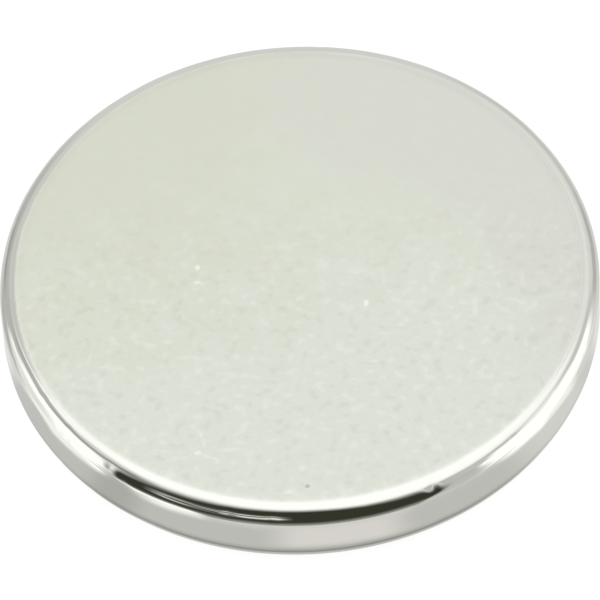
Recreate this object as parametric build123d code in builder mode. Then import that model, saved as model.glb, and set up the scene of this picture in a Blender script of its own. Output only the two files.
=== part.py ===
from build123d import *

import os

# Disc magnet: one sintered round with flat pole faces, a ground rim and tumbled edges.
# It lies on its lower pole face. The origin is the middle of that face, and +Z is the
# axis of the disc, which is also the way it is magnetised.

# Driving dimensions, in millimetres
diameter = 15.0
thickness = 2.0
upper_edge_radius = 0.45
lower_edge_radius = 0.45

# The half section runs out along the lower face, up the rim and back along the upper face.
rim_radius = diameter / 2
lower_middle = (0, 0)
lower_corner = (rim_radius, 0)
upper_corner = (rim_radius, thickness)
upper_middle = (0, thickness)

with BuildPart() as disc_magnet:
    with BuildSketch(Plane.XZ) as half_section:
        with BuildLine() as outline:
            # Tumbling rounds both corners of the rim, so each pole face rolls over into it.
            FilletPolyline(
                lower_middle,
                lower_corner,
                upper_corner,
                upper_middle,
                radius=[lower_edge_radius, upper_edge_radius],
            )
            Line(upper_middle, lower_middle)
        make_face()
    revolve(axis=Axis.Z)

disc_magnet.part.label = "disc_magnet"

os.makedirs("parts", exist_ok=True)
export_step(disc_magnet.part, "parts/disc_magnet.step")
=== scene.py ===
"""Looks of a nickel-plated disc magnet, laid out as an add-on and run as a script.

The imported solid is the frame. The plated disc replaces it with the same form in a finer mesh, with
the small unevenness of a tumbled edge. The stage is a white floor in a light tent. Only the burnished
rounds mirror the tent sharply, with its dark opening. The satin faces and the ground wall see it
plainer.
"""

import math
import random

import bpy
from bpy.props import FloatProperty, FloatVectorProperty, IntProperty, PointerProperty
from mathutils import Matrix, Vector, noise


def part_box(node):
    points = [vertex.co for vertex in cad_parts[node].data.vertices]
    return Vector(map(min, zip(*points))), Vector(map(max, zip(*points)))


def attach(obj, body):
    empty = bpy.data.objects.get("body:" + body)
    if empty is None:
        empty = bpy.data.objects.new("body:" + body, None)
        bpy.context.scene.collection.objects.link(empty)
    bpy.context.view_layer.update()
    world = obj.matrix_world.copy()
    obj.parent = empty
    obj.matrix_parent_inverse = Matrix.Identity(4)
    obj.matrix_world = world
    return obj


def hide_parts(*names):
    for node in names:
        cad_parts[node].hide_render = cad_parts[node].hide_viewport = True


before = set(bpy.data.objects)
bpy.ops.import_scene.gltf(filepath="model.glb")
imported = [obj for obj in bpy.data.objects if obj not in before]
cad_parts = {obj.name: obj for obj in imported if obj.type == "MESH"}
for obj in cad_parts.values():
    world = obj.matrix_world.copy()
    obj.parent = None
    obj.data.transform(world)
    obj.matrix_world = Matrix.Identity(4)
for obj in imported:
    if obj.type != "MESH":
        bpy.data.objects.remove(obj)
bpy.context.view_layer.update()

bl_info = {
    "name": "Plated Disc Magnet",
    "version": (1, 0, 0),
    "blender": (4, 5, 0),
    "location": "3D View > Sidebar > Disc Magnet",
    "description": "Builds a nickel-plated disc magnet and the light tent that it is shown in",
    "category": "Object",
}

MM = 0.001
MICRON = 0.001 * MM
PER_DEGREE = math.pi / 180
NODE = "disc_magnet"
LOW_CORNER, HIGH_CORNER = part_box(NODE)
MIDDLE_HEIGHT = (LOW_CORNER.z + HIGH_CORNER.z) / 2
RIM_RADIUS = HIGH_CORNER.x


# Settings

class DiscShape(bpy.types.PropertyGroup):
    """Form of the plated disc"""

    upper_edge: FloatProperty(
        name="Upper edge radius",
        description="Round between the upper pole face and the rim",
        default=0.42 * MM,
        unit="LENGTH",
    )
    lower_edge: FloatProperty(
        name="Lower edge radius",
        description="Round between the lower pole face and the rim",
        default=0.475 * MM,
        unit="LENGTH",
    )
    roll_radius: FloatProperty(
        name="Roll-over radius",
        description="Gentle curve by which a pole face starts to fall away into its round",
        default=3.0 * MM,
        unit="LENGTH",
    )
    roll_angle: FloatProperty(
        name="Roll-over angle",
        description="Slope at which the roll-over passes into the round",
        default=5 * PER_DEGREE,
        subtype="ANGLE",
    )
    long_wave: FloatProperty(
        name="Long unevenness",
        description="Height of the slow waves that tumbling leaves along the edge",
        default=4.0 * MICRON,
        unit="LENGTH",
    )
    short_wave: FloatProperty(
        name="Short unevenness",
        description="Height of the short waves of the plating over the edge",
        default=1.4 * MICRON,
        unit="LENGTH",
    )
    segments: IntProperty(
        name="Segments",
        description="Mesh segments round the disc",
        default=600,
    )


class NickelFinish(bpy.types.PropertyGroup):
    """Colours and gloss of the plating"""

    # The warm cast is also darker: painted shade over the back left of the face, besides its tint.
    shaded_warm_nickel: FloatVectorProperty(
        name="Warm nickel",
        description="Yellow-green cast of the satin face where the plating is thicker",
        default=(0.642, 0.664, 0.560),
        subtype="COLOR",
    )
    # The cool cast is also lighter: painted light over the front and right of the face, besides its tint.
    lit_cool_nickel: FloatVectorProperty(
        name="Cool nickel",
        description="Neutral cast of the satin face where the plating is thinner",
        default=(0.674, 0.701, 0.625),
        subtype="COLOR",
    )
    grey_nickel: FloatVectorProperty(
        name="Grey nickel",
        description="Greyer cast of the satin face at the back right",
        default=(0.653, 0.662, 0.606),
        subtype="COLOR",
    )
    bright_nickel: FloatVectorProperty(
        name="Bright nickel",
        description="Colour of the polished rounds and rim",
        default=(0.850, 0.856, 0.790),
        subtype="COLOR",
    )
    face_roughness: FloatProperty(
        name="Face roughness",
        description="Roughness of the satin pole faces",
        default=0.22,
        subtype="FACTOR",
    )
    wall_roughness: FloatProperty(
        name="Wall roughness",
        description="Roughness of the ground wall of the rim",
        default=0.07,
        subtype="FACTOR",
    )
    edge_roughness: FloatProperty(
        name="Edge roughness",
        description="Roughness of the rounds, which tumbling has burnished. At 0 they mirror sharply",
        default=0.0,
        subtype="FACTOR",
    )
    grain_depth: FloatProperty(
        name="Grain depth",
        description="Height of the fine grain on the pole faces",
        default=3.0 * MICRON,
        unit="LENGTH",
    )


class TentStage(bpy.types.PropertyGroup):
    """Camera, floor and light tent"""

    elevation: FloatProperty(
        name="Camera elevation",
        description="Angle of the camera above the horizon",
        default=52.36 * PER_DEGREE,
        subtype="ANGLE",
    )
    roll: FloatProperty(
        name="Camera roll",
        description="Turn of the camera about its own axis",
        default=3.2 * PER_DEGREE,
        subtype="ANGLE",
    )
    distance: FloatProperty(
        name="Camera distance",
        description="From the lens to the point that the camera looks at",
        default=177.45 * MM,
        unit="LENGTH",
    )
    lens: FloatProperty(
        name="Lens",
        description="Focal length in millimetres",
        default=424.7,
    )
    ceiling: FloatVectorProperty(
        name="Ceiling",
        description="Light of the tent's ceiling",
        default=(1.17, 1.17, 1.20),
        subtype="COLOR",
        max=4.0,
    )


# Shader maths

class Signal:
    """One output socket. Arithmetic on signals adds Math nodes to their graph."""

    def __init__(self, graph, socket):
        self.graph = graph
        self.socket = socket

    def __add__(self, other):
        return self.graph.math("ADD", self, other)

    __radd__ = __add__

    def __sub__(self, other):
        return self.graph.math("SUBTRACT", self, other)

    def __rsub__(self, other):
        return self.graph.math("SUBTRACT", other, self)

    def __mul__(self, other):
        return self.graph.math("MULTIPLY", self, other)

    __rmul__ = __mul__

    def __truediv__(self, other):
        return self.graph.math("DIVIDE", self, other)

    def __rtruediv__(self, other):
        return self.graph.math("DIVIDE", other, self)

    def __pow__(self, other):
        return self.graph.math("POWER", self, other)

    def __rpow__(self, other):
        return self.graph.math("POWER", other, self)

    def __abs__(self):
        return self.graph.math("ABSOLUTE", self)


def socket_named(sockets, name):
    """The socket with that identifier, or else the first with that name."""
    return next((s for s in sockets if s.identifier == name), None) or sockets[name]


class Graph:
    """A node tree that is written as expressions."""

    def __init__(self, tree):
        self.tree = tree
        tree.nodes.clear()

    def node(self, kind, settings=None, sockets=None, output=None):
        """Adds a node, with its settings first and then its sockets' values or links."""
        made = self.tree.nodes.new(kind)
        for name, value in (settings or {}).items():
            setattr(made, name, value)
        for name, value in (sockets or {}).items():
            if isinstance(value, Signal):
                self.tree.links.new(value.socket, socket_named(made.inputs, name))
            else:
                socket_named(made.inputs, name).default_value = value
        if made.outputs:
            return Signal(self, socket_named(made.outputs, output or made.outputs[0].name))

    def math(self, operation, first, second=0.0):
        sockets = {"Value": first, "Value_001": second}
        return self.node("ShaderNodeMath", {"operation": operation}, sockets)

    def split(self, vector):
        """The X, Y and Z of a vector."""
        made = self.node("ShaderNodeSeparateXYZ", None, {"Vector": vector})
        return [Signal(self, s) for s in made.socket.node.outputs]

    def joined(self, x, y, z):
        return self.node("ShaderNodeCombineXYZ", None, {"X": x, "Y": y, "Z": z})

    def scaled(self, vector, scale):
        """A vector made longer, or a colour made brighter, by a number."""
        sockets = {"Vector": vector, "Scale": scale}
        return self.node("ShaderNodeVectorMath", {"operation": "SCALE"}, sockets)

    def millimetres(self):
        """Where a point is in the object's own frame, in millimetres."""
        return self.scaled(self.node("ShaderNodeTexCoord", output="Object"), 1 / MM)

    def bearing(self, x, y):
        """Angle round the disc in degrees, from the front and positive to the right."""
        return self.math("ARCTAN2", x, -1 * y) / PER_DEGREE

    def rise(self, value, start, end):
        """0 below start, 1 above end and smooth between them."""
        sockets = {"Value": value, "From Min": start, "From Max": end}
        return self.node("ShaderNodeMapRange", {"interpolation_type": "SMOOTHSTEP"}, sockets)

    def fall(self, value, start, end):
        return 1 - self.rise(value, start, end)

    def between(self, value, low, high, soft):
        """1 between two limits and 0 outside them, with soft borders."""
        return self.rise(value, low - soft, low + soft) * self.fall(value, high - soft, high + soft)

    def mix(self, factor, first, second):
        """A colour between two colours."""
        sockets = {"Factor_Float": factor, "A_Color": first, "B_Color": second}
        settings = {"data_type": "RGBA"}
        return self.node("ShaderNodeMix", settings, sockets, output="Result_Color")

    def noise(self, vector, scale, detail=2.0, roughness=0.5):
        """Smooth noise from 0 to 1."""
        sockets = {"Vector": vector, "Scale": scale, "Detail": detail, "Roughness": roughness}
        return self.node("ShaderNodeTexNoise", None, sockets)

    def blend(self, factor, first, second):
        """A shader between two shaders."""
        sockets = {"Fac": factor, "Shader": first, "Shader_001": second}
        return self.node("ShaderNodeMixShader", None, sockets)

    def glow(self, colour):
        return self.node("ShaderNodeEmission", None, {"Color": colour})

    def finish(self, kind, shader):
        self.node(kind, None, {"Surface": shader})


def grey(level):
    return (level, level, level, 1.0)


def opaque(colour):
    return (*colour, 1.0)


def new_material(name):
    """A material with an empty graph."""
    material = bpy.data.materials.new(name)
    material.use_nodes = True
    return material, Graph(material.node_tree)


# Form of the plated disc

# Mesh rings along each stretch of the section
FLAT_RINGS = 16
ROLL_RINGS = 8
ROUND_RINGS = 30
WALL_RINGS = 24


def arc(middle, radius, start, end, count):
    """Radius, depth and slope along an arc of the section, without its last point."""
    for i in range(count):
        slope = start + (end - start) * i / count
        yield middle[0] + radius * math.sin(slope), middle[1] - radius * math.cos(slope), slope


def edge_section(shape, edge_radius):
    """Radius, depth below the face and slope, from the middle of a pole face to the end of its round."""
    turn = shape.roll_angle
    spread = shape.roll_radius - edge_radius
    round_middle = (RIM_RADIUS - edge_radius, shape.roll_radius - spread * math.cos(turn))
    roll_middle = (round_middle[0] - spread * math.sin(turn), shape.roll_radius)
    points = [(roll_middle[0] * i / FLAT_RINGS, 0.0, 0.0) for i in range(FLAT_RINGS)]
    points += arc(roll_middle, shape.roll_radius, 0.0, turn, ROLL_RINGS)
    points += arc(round_middle, edge_radius, turn, math.pi / 2, ROUND_RINGS)
    return points, round_middle[1]


def whole_section(shape):
    """Radius, height and slope from the middle of the upper face, round the rim, to the lower face's."""
    upper, upper_depth = edge_section(shape, shape.upper_edge)
    lower, lower_depth = edge_section(shape, shape.lower_edge)
    wall_top = HIGH_CORNER.z - upper_depth
    wall_foot = LOW_CORNER.z + lower_depth
    section = [(radius, HIGH_CORNER.z - depth, slope) for radius, depth, slope in upper]
    for i in range(WALL_RINGS + 1):
        height = wall_top + (wall_foot - wall_top) * i / WALL_RINGS
        section.append((RIM_RADIUS, height, math.pi / 2))
    for radius, depth, slope in reversed(lower):
        section.append((radius, LOW_CORNER.z + depth, math.pi - slope))
    return section


# Dents that show in the photo: angle round the disc from the front in degrees, positive to the right,
# height above the lower face, width and depth
SEEN_DENTS = (
    (23.6, 1.85 * MM, 0.13 * MM, 9 * MICRON),
    (-54.5, 1.72 * MM, 0.12 * MM, 8 * MICRON),
    (-52.5, 1.66 * MM, 0.14 * MM, 9 * MICRON),
    (-74.0, 1.60 * MM, 0.14 * MM, 9 * MICRON),
    (-38.0, 1.70 * MM, 0.16 * MM, 4 * MICRON),
    (-16.0, 1.74 * MM, 0.12 * MM, 6 * MICRON),
    (-7.5, 1.72 * MM, 0.10 * MM, 6 * MICRON),
)
# Small dents of tumbling, strewn over both rounds away from the front: angles, heights as shares of the
# upper edge, widths in millimetres and depths in microns
STREWN_DENTS = 70
STREWN_ANGLES = (40, 320)
STREWN_HEIGHT_SHARES = (0.1, 0.9)
STREWN_WIDTHS = (0.06, 0.14)
STREWN_DEPTHS = (2, 6)
DENT_SEED = 15


def dent_list(shape):
    """Centre, width and depth of every dent."""
    strewn = random.Random(DENT_SEED)
    dents = list(SEEN_DENTS)
    for _ in range(STREWN_DENTS):
        angle = strewn.uniform(*STREWN_ANGLES)
        height = strewn.choice((LOW_CORNER.z, HIGH_CORNER.z - shape.upper_edge))
        height += strewn.uniform(*STREWN_HEIGHT_SHARES) * shape.upper_edge
        width = strewn.uniform(*STREWN_WIDTHS) * MM
        depth = strewn.uniform(*STREWN_DEPTHS) * MICRON
        dents.append((angle, height, width, depth))
    placed = []
    for angle, height, width, depth in dents:
        edge = shape.upper_edge if height > MIDDLE_HEIGHT else shape.lower_edge
        off = max(0.0, abs(height - MIDDLE_HEIGHT) - (HIGH_CORNER.z - MIDDLE_HEIGHT - edge))
        radius = RIM_RADIUS - edge + math.sqrt(edge * edge - off * off)
        turn = angle * PER_DEGREE
        centre = Vector((radius * math.sin(turn), -radius * math.cos(turn), height))
        placed.append((centre, width, depth))
    return placed


LONG_WAVELENGTH = 1.5 * MM
SHORT_WAVELENGTH = 0.45 * MM
# Slope by which the unevenness of the edge has reached its full height
UNEVEN_SLOPE = 6 * PER_DEGREE
# Beyond so many widths a dent has no depth left
DENT_REACH = 2.5


def unevenness(place, slope, shape):
    """How far a point of the edge stands off the true round."""
    share = min(1.0, math.sin(slope) / math.sin(UNEVEN_SLOPE))
    long = noise.noise(place / LONG_WAVELENGTH)
    short = noise.noise(place / SHORT_WAVELENGTH)
    return share * (shape.long_wave * long + shape.short_wave * short)


def press_dents(places, normals, dents):
    """Pushes the points near each dent inwards."""
    for centre, width, depth in dents:
        reach = DENT_REACH * width
        for index, place in enumerate(places):
            if abs(place.z - centre.z) < reach and abs(place.x - centre.x) < reach:
                off = (place - centre).length
                if off < reach:
                    places[index] = place - normals[index] * (depth * math.exp(-((off / width) ** 2)))


# Islands of the bake map: the two faces as discs and the rim as two strips
FACE_ISLANDS = ((0.25, 0.75), (0.75, 0.75))
FACE_ISLAND_RADIUS = 0.24
STRIP_LOWS = (0.26, 0.03)
STRIP_LEFT = 0.03
STRIP_SIZE = (0.94, 0.20)
# Slopes of the section between which a point belongs to the strips
STRIP_SLOPES = (45 * PER_DEGREE, 135 * PER_DEGREE)


def section_lengths(section):
    """Length along the section from the middle of the upper face to each of its points."""
    lengths = [0.0]
    for (r0, z0, _), (r1, z1, _) in zip(section, section[1:]):
        lengths.append(lengths[-1] + math.hypot(r1 - r0, z1 - z0))
    return lengths


def face_corner(middle, share, step, count):
    """Place in the bake map of a face's point, that share of the way out from the face's middle."""
    turn = 2 * math.pi * step / count
    out = share * FACE_ISLAND_RADIUS
    return middle[0] + out * math.sin(turn), middle[1] - out * math.cos(turn)


def strip_corner(share, segment, step, count):
    """Place in the bake map of a rim's point, that share of the way up its strip."""
    half = count // 2
    turned = (segment + count // 4) % count
    along = (turned % half + step - segment) / half
    return STRIP_LEFT + STRIP_SIZE[0] * along, STRIP_LOWS[turned // half] + STRIP_SIZE[1] * share


def bake_map(mesh, section, count, corners):
    """Unwraps the disc without overlap, from each face corner's band, segment, ring and step."""
    lengths = section_lengths(section)
    first, last = (next(i for i, p in enumerate(section) if p[2] >= slope) for slope in STRIP_SLOPES)
    top, foot, end = lengths[first], lengths[last], lengths[-1]
    flat = []
    for band, segment, ring, step in corners:
        length = lengths[ring]
        if band < first:
            flat += face_corner(FACE_ISLANDS[0], length / top, step, count)
        elif band < last:
            flat += strip_corner((foot - length) / (foot - top), segment, step, count)
        else:
            flat += face_corner(FACE_ISLANDS[1], (end - length) / (end - foot), step, count)
    layer = mesh.uv_layers.new(name="OFBake")
    layer.uv.foreach_set("vector", flat)


def disc_mesh(shape):
    """The plated disc as a lathe with an uneven edge, and the middle of each face as one vertex."""
    section = whole_section(shape)
    count = shape.segments
    places = [Vector((0.0, 0.0, HIGH_CORNER.z))]
    normals = [Vector((0.0, 0.0, 1.0))]
    for radius, height, slope in section[1:-1]:
        for k in range(count):
            turn = 2 * math.pi * k / count
            outward = Vector((math.sin(turn), -math.cos(turn), 0.0))
            normal = outward * math.sin(slope) + Vector((0.0, 0.0, math.cos(slope)))
            place = outward * radius + Vector((0.0, 0.0, height))
            places.append(place + normal * unevenness(place, slope, shape))
            normals.append(normal)
    places.append(Vector((0.0, 0.0, LOW_CORNER.z)))
    normals.append(Vector((0.0, 0.0, -1.0)))
    press_dents(places, normals, dent_list(shape))

    rings = len(section) - 2
    last = len(places) - 1
    base = last - count
    faces = []
    corners = []
    for k in range(count):
        after = (k + 1) % count
        faces.append((0, 1 + k, 1 + after))
        corners += [(0, k, *spot) for spot in ((0, k), (1, k), (1, k + 1))]
        for ring in range(1, rings):
            here = 1 + (ring - 1) * count
            below = here + count
            faces.append((here + k, below + k, below + after, here + after))
            spots = ((ring, k), (ring + 1, k), (ring + 1, k + 1), (ring, k + 1))
            corners += [(ring, k, *spot) for spot in spots]
        faces.append((base + k, last, base + after))
        corners += [(rings, k, *spot) for spot in ((rings, k), (rings + 1, k), (rings, k + 1))]
    mesh = bpy.data.meshes.new("nickel_disc")
    mesh.from_pydata(places, [], faces)
    mesh.polygons.foreach_set("use_smooth", [True] * len(mesh.polygons))
    bake_map(mesh, section, count, corners)
    mesh.update()
    return mesh


# Finish of the plated disc

# Marks on the upper face, nicks and specks whose brightness is a painted glint, and darker spots: middle in
# millimetres, half length, half width, turn in degrees and how much brighter or darker they are
FACE_MARKS_AND_GLINTS = (
    (-2.52, 0.29, 0.11, 0.09, 90, 0.22),
    (-2.54, -0.18, 0.13, 0.07, 0, 0.16),
    (1.63, -1.13, 0.13, 0.08, 90, 0.18),
    (-2.59, -5.05, 0.36, 0.07, 103, 0.07),
    (-2.71, -5.46, 0.13, 0.09, 0, 0.14),
    (-2.45, -5.60, 0.26, 0.06, -18, 0.07),
    (-1.95, -5.42, 0.32, 0.08, 0, 0.05),
    (-0.08, -6.65, 0.08, 0.08, 0, -0.30),
    (-0.57, -6.80, 0.16, 0.08, 0, 0.09),
    (-0.19, -6.08, 0.11, 0.10, 45, 0.08),
    (2.45, -1.85, 0.15, 0.07, 0, 0.06),
    (1.72, -2.95, 0.16, 0.07, 10, 0.08),
    (-3.03, -1.28, 0.13, 0.07, 60, -0.06),
)
# Squared shares of a mark's size between which it fades
MARK_FADE = (0.1, 1.0)
# Half of the height, in millimetres, over which the upper half of the disc begins
HALF_SOFT = 0.1

# Noises of the plating, in cells to the millimetre
CLOUD_SCALE = 0.30
MOTTLE_SCALE = 1.3
GRAIN_SCALE = 5.5
SPECK_SCALE = 4.2
PEEL_SCALE = 2.6
NOISE_MEAN = 0.5

# Leans of the cast from warm to cool, and from there to grey: start, growth with each millimetre to the
# right and to the back, shares of the clouds and the mottles. Then the values that the change lies between
# The lean to the lighter cool cast at the front and right, and to the darker warm one at the back left, is
# painted light and shade.
COOL_AND_LIT_LEAN = (0.62, 0.035, -0.09, 0.9, 0.8)
COOL_RANGE = (0.1, 0.9)
GREY_LEAN = (0.0, 0.16, 0.12, 1.2, 0.5)
GREY_RANGE = (0.5, 1.1)

# Light and dark dabs in the grain: values of the specks between which they begin
LIGHT_DABS = (0.60, 0.80)
DARK_DABS = (0.20, 0.40)
DAB_SHADE = 0.05
GRAIN_SHADE = 0.085
# Heights as shares of the grain's, for the dabs and for the peel of the rim
DAB_HEIGHT_SHARE = 0.5
PEEL_HEIGHT_SHARE = 0.25
# The grain fades between these places, in millimetres from the middle to the back, to this share
GRAIN_FADE = (-1.5, 3.5)
GRAIN_BACK_SHARE = 0.15

# Distances from the border of the flat, in millimetres, between which its colour and its roughness end
COLOUR_BORDER = (-0.05, 0.09)
ROUGHNESS_BORDER = (-0.13, 0.02)
MOTTLED_ROUGHNESS = 0.06
# The roughness of the wall ends so far below the upper round, with this soft border, in millimetres
WALL_STEP = 0.06
WALL_SOFT = 0.02


def face_marks_and_glints(graph, x, y):
    """Sum of the marks' shades, with the painted glints of the brighter ones."""
    total = 0.0
    for mark_x, mark_y, length, width, turn, shade in FACE_MARKS_AND_GLINTS:
        cosine, sine = math.cos(turn * PER_DEGREE), math.sin(turn * PER_DEGREE)
        along = ((x - mark_x) * cosine + (y - mark_y) * sine) / length
        across = ((y - mark_y) * cosine - (x - mark_x) * sine) / width
        total = total + shade * graph.fall(along * along + across * across, *MARK_FADE)
    return total


def flat_share(graph, radius, shape, border):
    """1 on the flat of a pole face, and fading between two distances from its border."""
    flat_radius = (RIM_RADIUS - shape.upper_edge) / MM
    return graph.fall(radius, *(flat_radius + step for step in border))


def satin_cast_and_painted_light(graph, finish, x, y, clouds, mottles):
    """Warm and darker at the back left, cool and lighter at the front, which is painted shade and painted
    light, and grey at the back right, in clouds and small mottles.
    """

    def lean(start, rightward, backward, cloud_share, mottle_share):
        return start + rightward * x + backward * y + cloud_share * clouds + mottle_share * mottles

    cooler_and_lighter = graph.rise(lean(*COOL_AND_LIT_LEAN), *COOL_RANGE)
    greyer = graph.rise(lean(*GREY_LEAN), *GREY_RANGE)
    cast = graph.mix(cooler_and_lighter, opaque(finish.shaded_warm_nickel), opaque(finish.lit_cool_nickel))
    return graph.mix(greyer, cast, opaque(finish.grey_nickel))


def plate_roughness(graph, finish, shape, radius, z, mottles):
    """Satin faces and a ground wall. The rounds between them keep the roughness of the edge alone."""
    satin = flat_share(graph, radius, shape, ROUGHNESS_BORDER)
    wall_top = (HIGH_CORNER.z - shape.upper_edge) / MM
    wall_foot = (LOW_CORNER.z + shape.lower_edge) / MM
    wall = graph.between(z, wall_foot, wall_top - WALL_STEP, WALL_SOFT)
    satin_step = finish.face_roughness - finish.edge_roughness + MOTTLED_ROUGHNESS * mottles
    wall_step = finish.wall_roughness - finish.edge_roughness
    return finish.edge_roughness + satin * satin_step + wall * wall_step


def nickel_material(finish, shape):
    """Nickel plate: satin on the pole faces, brighter over the rounds and the rim."""
    material, graph = new_material("nickel_plate")
    place = graph.millimetres()
    x, y, z = graph.split(place)
    radius = (x * x + y * y) ** 0.5
    face = flat_share(graph, radius, shape, COLOUR_BORDER)
    upper = graph.rise(z, MIDDLE_HEIGHT / MM - HALF_SOFT, MIDDLE_HEIGHT / MM + HALF_SOFT)
    clouds = graph.noise(place, CLOUD_SCALE) - NOISE_MEAN
    mottles = graph.noise(place, MOTTLE_SCALE) - NOISE_MEAN
    # The satin cast carries painted light at the front and painted shade at the back left.
    satin = satin_cast_and_painted_light(graph, finish, x, y, clouds, mottles)
    plate = graph.mix(face, opaque(finish.bright_nickel), satin)

    # The grain shows more towards the front of the disc.
    grain = graph.noise(place, GRAIN_SCALE, detail=3.0, roughness=0.6)
    specks = graph.noise(place, SPECK_SCALE, detail=0.0)
    dabs = graph.rise(specks, *LIGHT_DABS) - graph.fall(specks, *DARK_DABS)
    front = GRAIN_BACK_SHARE + (1 - GRAIN_BACK_SHARE) * graph.fall(y, *GRAIN_FADE)
    grain_shade = front * (DAB_SHADE * dabs + GRAIN_SHADE * (grain - NOISE_MEAN))
    # The marks add painted glints and darker spots to the upper face.
    shade = 1 + face * (grain_shade + upper * face_marks_and_glints(graph, x, y))
    colour = graph.scaled(plate, shade)

    peel = graph.noise(place, PEEL_SCALE)
    height = face * front * (grain + DAB_HEIGHT_SHARE * dabs) + PEEL_HEIGHT_SHARE * (1 - face) * peel
    bump = graph.node("ShaderNodeBump", None, {"Distance": finish.grain_depth, "Height": height})
    roughness = plate_roughness(graph, finish, shape, radius, z, mottles)
    sockets = {"Base Color": colour, "Metallic": 1.0, "Roughness": roughness, "Normal": bump}
    graph.finish("ShaderNodeOutputMaterial", graph.node("ShaderNodeBsdfPrincipled", None, sockets))
    return material


class DISCMAGNET_OT_plated_disc(bpy.types.Operator):
    """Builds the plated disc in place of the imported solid"""

    bl_idname = "disc_magnet.plated_disc"
    bl_label = "Plated Disc"

    def execute(self, context):
        shape = context.scene.disc_shape
        piece = bpy.data.objects.new("nickel_disc", disc_mesh(shape))
        piece.data.materials.append(nickel_material(context.scene.nickel_finish, shape))
        context.scene.collection.objects.link(piece)
        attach(piece, "root")
        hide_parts(NODE)
        return {"FINISHED"}


# The light tent, by direction: azimuths from the front, positive to the right, and elevations, in degrees

# Level of the walls and their lift towards the ceiling, in the plain tent and in the one that the rounds
# mirror, which has cards and an opening in front
PLAIN_WALL = 0.78
PLAIN_LIFT = 0.31
MIRRORED_WALL = 0.71
MIRRORED_LIFT = 0.38
LIFT_ELEVATIONS = (30, 50)
# Over these elevations the other surfaces pass from the mirrored walls and cards to the plain walls, with
# this share of the mirrored ones left
PLAIN_ELEVATIONS = (-25, -10)
MIRRORED_SHARE = 0.35
# Elevations between which the ceiling begins, how much lower at the right, and how much higher at the back
CEILING_ELEVATIONS = (43, 62)
CEILING_RIGHT_DROP = 3
CEILING_BACK_RISE = 8
# Keeps the straight way up from a division by zero
TINY = 0.0001

# Each card: azimuths, elevations, soft border and level
TENT_CARDS = {
    "far left": (-158, -113, -14, 36, 8, 0.53),
    "far right": (115, 158, -14, 36, 8, 0.74),
    "far left top": (-172, -137, 28, 49, 7, 0.70),
    "far right top": (137, 172, 28, 49, 7, 0.81),
    "far right low": (140, 164, -12, 13, 6, 0.60),
    "left shoulder": (-160, -131, 36, 54, 7, 0.62),
    "right shoulder": (124, 170, 36, 61, 7, 0.85),
    "left gap": (-124, -60, 28, 45, 5, 0.40),
    "left gap end": (-118, -98, 30, 43, 5, 0.52),
    "left gap rise": (-100, -64, 42, 56, 6, 0.76),
    "right gap": (44, 76, 28, 37, 4, 0.56),
    "left panel": (-110, -65, -90, 26, 4, 1.20),
    "left panel tip": (-117, -104, -10, 14, 3, 1.10),
    "left panel shade": (-118, -90, -34, 2, 6, 0.86),
    "left panel low": (-128, -95, -90, -36, 5, 1.0),
    "left corner": (-132, -114, -42, -10, 5, 0.50),
    "left corner end": (-144, -129, -8, 10, 5, 0.40),
    "right panel": (53, 112, -90, 22, 5, 1.22),
    "right panel top": (76, 93, 18, 33, 4, 0.95),
    "right gap end": (98, 122, 14, 33, 5, 0.62),
    "right corner": (118, 142, -14, 14, 5, 0.50),
    "right panel low": (105, 128, -90, -36, 5, 1.0),
    "left foot": (-72, -44, -64, -34, 4, 1.19),
    "left post": (-74, -64, -44, -28, 3, 0.50),
    "left post foot": (-87, -74, -90, -44, 4, 0.51),
    "grey edge": (41, 54, -90, 38, 2, 0.55),
    "right foot": (39, 57, -46, -8, 5, 0.57),
    "right foot low": (39, 80, -90, -43, 6, 0.66),
    "right foot side": (45, 62, -50, -24, 5, 0.58),
    "grey edge top": (48, 60, 10, 36, 4, 0.60),
}

# Dark opening of the tent: its colour, and the angles over which its borders fade
OPENING_COLOUR = (0.040, 0.041, 0.028)
OPENING_LEFT = (-70, -62)
OPENING_RIGHT = (40, 46)
OPENING_FOOT = (-88, -25)
OPENING_TOP = (40, 70)
# Shifts of the two ends of its upper border to the left, to the right and at the right corner, and the
# azimuths over which they grow
TOP_LEFT_SHIFT = (-20, 5)
TOP_RIGHT_SHIFT = (-30, -15)
TOP_CORNER_SHIFT = (-40, -40)
TOP_LEFT_AZIMUTHS = (15, 55)
TOP_RIGHT_AZIMUTHS = (0, 38)
TOP_CORNER_AZIMUTHS = (34, 44)
# Its left border leans to the right by this much for each degree above the pivot, and over these elevations
# it widens by this much each way
LEFT_LEAN = 0.06
LEFT_PIVOT = -17
LEFT_WIDENING = 14
LEFT_WIDE_ELEVATIONS = (5, 27)
# A light notch at its left foot: azimuths and elevations, each with a soft border
NOTCH_AZIMUTHS = (-76, -44, 5)
NOTCH_ELEVATIONS = (-68, -49, 4)

# Light streaks in the left half of the opening: azimuths and heights about their middle, each with a soft
# border, length and height of one streak, values of the noise between which they begin, and level
STREAK_MIDDLE = -1
STREAK_AZIMUTHS = (-50, -9, 4)
STREAK_HEIGHTS = (-13, 13, 7)
STREAK_SIZE = (26, 5)
STREAK_RANGE = (0.38, 0.68)
STREAK_LEVEL = 0.95


def tent_cards(graph, light, azimuth, elevation):
    """Lays every card over the light of the walls."""
    for left, right, low, high, soft, level in TENT_CARDS.values():
        mask = graph.between(azimuth, left, right, soft) * graph.between(elevation, low, high, soft)
        light = light + mask * (level - light)
    return light


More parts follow.
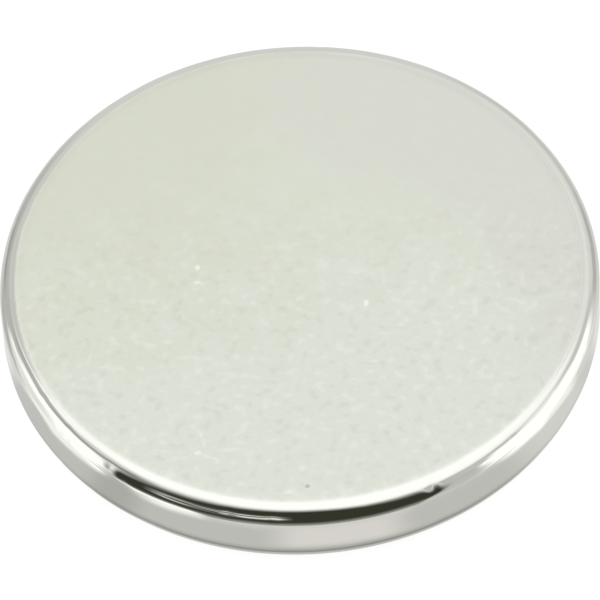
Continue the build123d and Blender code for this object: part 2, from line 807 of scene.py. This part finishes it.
def opening_mask(graph, azimuth, elevation):
    """1 in the opening. Its upper border is softest at the left and lowest at the right."""
    leftward = graph.rise(-1 * azimuth, *TOP_LEFT_AZIMUTHS)
    rightward = graph.rise(azimuth, *TOP_RIGHT_AZIMUTHS)
    corner = graph.rise(azimuth, *TOP_CORNER_AZIMUTHS)
    ends = zip(OPENING_TOP, TOP_LEFT_SHIFT, TOP_RIGHT_SHIFT, TOP_CORNER_SHIFT)
    start, end = (top + a * leftward + b * rightward + c * corner for top, a, b, c in ends)
    upper = graph.fall(elevation, start, end)
    lower = graph.rise(elevation, *OPENING_FOOT)
    slanted = azimuth - LEFT_LEAN * (elevation - LEFT_PIVOT)
    widening = LEFT_WIDENING * graph.rise(elevation, *LEFT_WIDE_ELEVATIONS)
    left = graph.rise(slanted, OPENING_LEFT[0] - widening, OPENING_LEFT[1] + widening)
    right = graph.fall(azimuth, *OPENING_RIGHT)
    notch = graph.between(azimuth, *NOTCH_AZIMUTHS) * graph.between(elevation, *NOTCH_ELEVATIONS)
    return upper * lower * left * right * (1 - notch)


def opening_colour(graph, azimuth, elevation):
    """Nearly black, with long light streaks near the horizon in its left half."""
    height = elevation - STREAK_MIDDLE
    grain = graph.joined(azimuth / STREAK_SIZE[0], 0.0, height / STREAK_SIZE[1])
    streaks = graph.rise(graph.noise(grain, 1.0), *STREAK_RANGE)
    row = graph.between(azimuth, *STREAK_AZIMUTHS) * graph.between(height, *STREAK_HEIGHTS)
    return graph.mix(row * streaks, opaque(OPENING_COLOUR), grey(STREAK_LEVEL))


def tent_world(stage):
    """The tent by direction: bright ceiling, side panels, plain walls and the opening in front."""
    world = bpy.data.worlds.new("light_tent")
    world.use_nodes = True
    graph = Graph(world.node_tree)
    x, y, z = graph.split(graph.node("ShaderNodeTexCoord", output="Generated"))
    azimuth = graph.bearing(x, y)
    elevation = graph.math("ARCSINE", z) / PER_DEGREE
    backward = 0.5 + 0.5 * y / (x * x + y * y + TINY) ** 0.5
    lift = graph.rise(elevation, *LIFT_ELEVATIONS)
    # A ray is singular when a surface without any roughness mirrors it.
    sharp = graph.node("ShaderNodeLightPath", output="Is Singular Ray")

    plain = PLAIN_WALL + PLAIN_LIFT * lift
    mirrored = tent_cards(graph, MIRRORED_WALL + MIRRORED_LIFT * lift, azimuth, elevation)
    plain_share = (1 - sharp) * (1 - MIRRORED_SHARE) * graph.rise(elevation, *PLAIN_ELEVATIONS)
    light = mirrored + plain_share * (plain - mirrored)
    overhead = elevation + CEILING_RIGHT_DROP * x - CEILING_BACK_RISE * backward
    ceiling = graph.rise(overhead, *CEILING_ELEVATIONS)
    seen = graph.mix(ceiling, graph.joined(light, light, light), opaque(stage.ceiling))
    dark = sharp * opening_mask(graph, azimuth, elevation)
    seen = graph.mix(dark, seen, opening_colour(graph, azimuth, elevation))

    tent = graph.node("ShaderNodeBackground", None, {"Color": seen})
    white = graph.node("ShaderNodeBackground", None, {"Color": grey(1.0)})
    camera = graph.node("ShaderNodeLightPath", output="Is Camera Ray")
    graph.finish("ShaderNodeOutputWorld", graph.blend(camera, tent, white))
    return world


# The floor

# Half of its side in metres, its gap below the disc and its colour to soft light
FLOOR_HALF = 1.0
FLOOR_GAP = 0.01 * MM
FLOOR_COLOUR = 0.95
# To the camera it glows nearly white, and a faint lit layer over that takes the shadow
FLOOR_GLOW = 0.90
FLOOR_SHOWN = 0.16

# The pad is what the metal sees of the floor, a grey glow with painted light and shade: its level, and the
# distances from the rim between which it fades, beyond which the metal mirrors the tent
PAINTED_PAD_LEVEL = 0.58
PAD_FADE = (1.06 * MM, 1.30 * MM)
# At the front, within these angles, it fades nearer to the rim
PAD_FRONT_ANGLES = (12, 35)
PAD_FRONT_STEP = 0.16 * MM
# At the left, within these angles and with this soft border, it reaches further
PAD_LEFT_ANGLES = (-80, -66, 4)
PAD_LEFT_STEP = 0.42 * MM
# Distances inside the rim between which it ends, so that the underside mirrors the tent as well
PAD_INNER = (-0.53 * MM, -0.45 * MM)
# Towards the two sides all other distances shrink, down to this share
SIDE_SHARE = 0.2
# Painted shadow along the disc's foot: distances from the rim, soft border and depth
PAINTED_CONTACT_SHADE = (0.14 * MM, 0.38 * MM, 0.12 * MM)
CONTACT_DEPTH = 0.50
# Angles from the front between which that shade falls to this share
CONTACT_ANGLES = (25, 60)
CONTACT_SIDE_SHARE = 0.3
# Patches of painted light and shade on the pad: angles round the disc, soft border, distances from the rim
# between which they begin, and colour. A patch of the whole width begins far inside the rim
WHOLE_WIDTH = (-1.0, 0.0)
PAINTED_PAD_PATCHES = {
    "front": (-7, 18, 5, (0.35 * MM, 0.60 * MM), (0.78, 0.755, 0.76)),
    "right": (48, 72, 7, WHOLE_WIDTH, (0.71, 0.71, 0.71)),
    "left": (-49, -38, 4, WHOLE_WIDTH, (0.47, 0.47, 0.46)),
    "left foot": (-37, -25, 5, (0.93 * MM, 1.08 * MM), (1.05, 1.05, 1.05)),
    "far left": (-96, -80, 4, WHOLE_WIDTH, (0.80, 0.80, 0.80)),
    "far left end": (-116, -96, 5, WHOLE_WIDTH, (0.70, 0.70, 0.70)),
    "far right": (77, 110, 6, WHOLE_WIDTH, (0.79, 0.79, 0.79)),
}


def painted_pad_colour(graph, angle, off):
    """Grey pad with its patches of painted light and shade and the painted shadow along the disc's foot."""
    colour = grey(PAINTED_PAD_LEVEL)
    for left, right, soft, start, patch in PAINTED_PAD_PATCHES.values():
        mask = graph.between(angle, left, right, soft) * graph.rise(off, *start)
        colour = graph.mix(mask, colour, opaque(patch))
    frontal = CONTACT_SIDE_SHARE + (1 - CONTACT_SIDE_SHARE) * graph.fall(abs(angle), *CONTACT_ANGLES)
    # Painted shadow along the foot of the disc.
    contact = 1 - CONTACT_DEPTH * frontal * graph.between(off, *PAINTED_CONTACT_SHADE)
    return graph.scaled(colour, contact)


def floor_material():
    """White floor with a faint shade. The metal sees it as a painted grey pad with painted light and shade,
    and only close to the rim.
    """
    material, graph = new_material("white_floor")
    x, y, _ = graph.split(graph.node("ShaderNodeNewGeometry", output="Position"))
    radius = (x * x + y * y) ** 0.5
    angle = graph.bearing(x, y)
    outside = radius - RIM_RADIUS
    off = outside / graph.math("MAXIMUM", abs(y / radius), SIDE_SHARE)
    reach = off + PAD_FRONT_STEP * graph.fall(abs(angle), *PAD_FRONT_ANGLES)
    reach = reach - PAD_LEFT_STEP * graph.between(angle, *PAD_LEFT_ANGLES)
    faded = graph.rise(reach, *PAD_FADE) + graph.fall(outside, *PAD_INNER)
    clear = graph.node("ShaderNodeBsdfTransparent")
    # The pad glows with painted light and shade, and only the metal sees it.
    pad = graph.blend(faded, graph.glow(painted_pad_colour(graph, angle, off)), clear)

    paper = graph.node("ShaderNodeBsdfDiffuse", None, {"Color": grey(FLOOR_COLOUR)})
    lit = graph.node("ShaderNodeBsdfDiffuse", None, {"Color": grey(FLOOR_SHOWN)})
    layers = {"Shader": lit, "Shader_001": graph.glow(grey(FLOOR_GLOW))}
    white = graph.node("ShaderNodeAddShader", None, layers)
    camera = graph.node("ShaderNodeLightPath", output="Is Camera Ray")
    glossy = graph.node("ShaderNodeLightPath", output="Is Glossy Ray")
    above = graph.blend(glossy, graph.blend(camera, paper, white), pad)
    # From below the floor is clear.
    below = graph.node("ShaderNodeNewGeometry", output="Backfacing")
    graph.finish("ShaderNodeOutputMaterial", graph.blend(below, above, clear))
    return material


def white_floor(context):
    signs = ((-1, -1), (1, -1), (1, 1), (-1, 1))
    corners = [(x * FLOOR_HALF, y * FLOOR_HALF, LOW_CORNER.z - FLOOR_GAP) for x, y in signs]
    mesh = bpy.data.meshes.new("floor")
    mesh.from_pydata(corners, [], [(0, 1, 2, 3)])
    mesh.materials.append(floor_material())
    floor = bpy.data.objects.new("floor", mesh)
    context.scene.collection.objects.link(floor)


# The camera

# Width and height of the photo in pixels
PHOTO_SIDE = 600
# Where the camera looks, in pixels of the photo to the right of the disc's middle and above it
AIM_PIXELS = (-0.23, -4.47)
CLIP_START = 10 * MM
CLIP_END = 10.0


def photo_camera(context, stage):
    """The camera looks down on the disc from the front, a little rolled."""
    data = bpy.data.cameras.new("camera")
    data.lens = stage.lens
    data.clip_start = CLIP_START
    data.clip_end = CLIP_END
    back = Vector((0, -math.cos(stage.elevation), math.sin(stage.elevation)))
    level = Vector((1, 0, 0))
    upright = back.cross(level)
    right = level * math.cos(stage.roll) - upright * math.sin(stage.roll)
    up = level * math.sin(stage.roll) + upright * math.cos(stage.roll)
    pixel = stage.distance * data.sensor_width / data.lens / PHOTO_SIDE
    middle = Vector((0, 0, MIDDLE_HEIGHT))
    aim = middle + (right * AIM_PIXELS[0] + up * AIM_PIXELS[1]) * pixel
    camera = bpy.data.objects.new("camera", data)
    turned = Matrix((right, up, back)).transposed().to_4x4()
    camera.matrix_world = Matrix.Translation(aim + back * stage.distance) @ turned
    context.scene.collection.objects.link(camera)
    context.scene.camera = camera


class DISCMAGNET_OT_stage(bpy.types.Operator):
    """Builds the floor, the light tent and the camera"""

    bl_idname = "disc_magnet.stage"
    bl_label = "Light Tent"

    def execute(self, context):
        stage = context.scene.tent_stage
        white_floor(context)
        context.scene.world = tent_world(stage)
        photo_camera(context, stage)
        context.scene.view_settings.view_transform = "Standard"
        return {"FINISHED"}


# The add-on

class DISCMAGNET_PT_sidebar(bpy.types.Panel):
    """Settings and builders of the disc magnet"""

    bl_idname = "DISCMAGNET_PT_sidebar"
    bl_label = "Disc Magnet"
    bl_space_type = "VIEW_3D"
    bl_region_type = "UI"
    bl_category = "Disc Magnet"

    def draw(self, context):
        for group, operator in (
            (context.scene.disc_shape, None),
            (context.scene.nickel_finish, DISCMAGNET_OT_plated_disc),
            (context.scene.tent_stage, DISCMAGNET_OT_stage),
        ):
            column = self.layout.column()
            for name in group.__annotations__:
                column.prop(group, name)
            if operator:
                column.operator(operator.bl_idname)


CLASSES = (
    DiscShape,
    NickelFinish,
    TentStage,
    DISCMAGNET_OT_plated_disc,
    DISCMAGNET_OT_stage,
    DISCMAGNET_PT_sidebar,
)


def register():
    for cls in CLASSES:
        bpy.utils.register_class(cls)
    bpy.types.Scene.disc_shape = PointerProperty(type=DiscShape)
    bpy.types.Scene.nickel_finish = PointerProperty(type=NickelFinish)
    bpy.types.Scene.tent_stage = PointerProperty(type=TentStage)


def unregister():
    del bpy.types.Scene.tent_stage
    del bpy.types.Scene.nickel_finish
    del bpy.types.Scene.disc_shape
    for cls in reversed(CLASSES):
        bpy.utils.unregister_class(cls)


def main():
    register()
    bpy.ops.disc_magnet.plated_disc()
    bpy.ops.disc_magnet.stage()


if __name__ == "__main__":
    main()
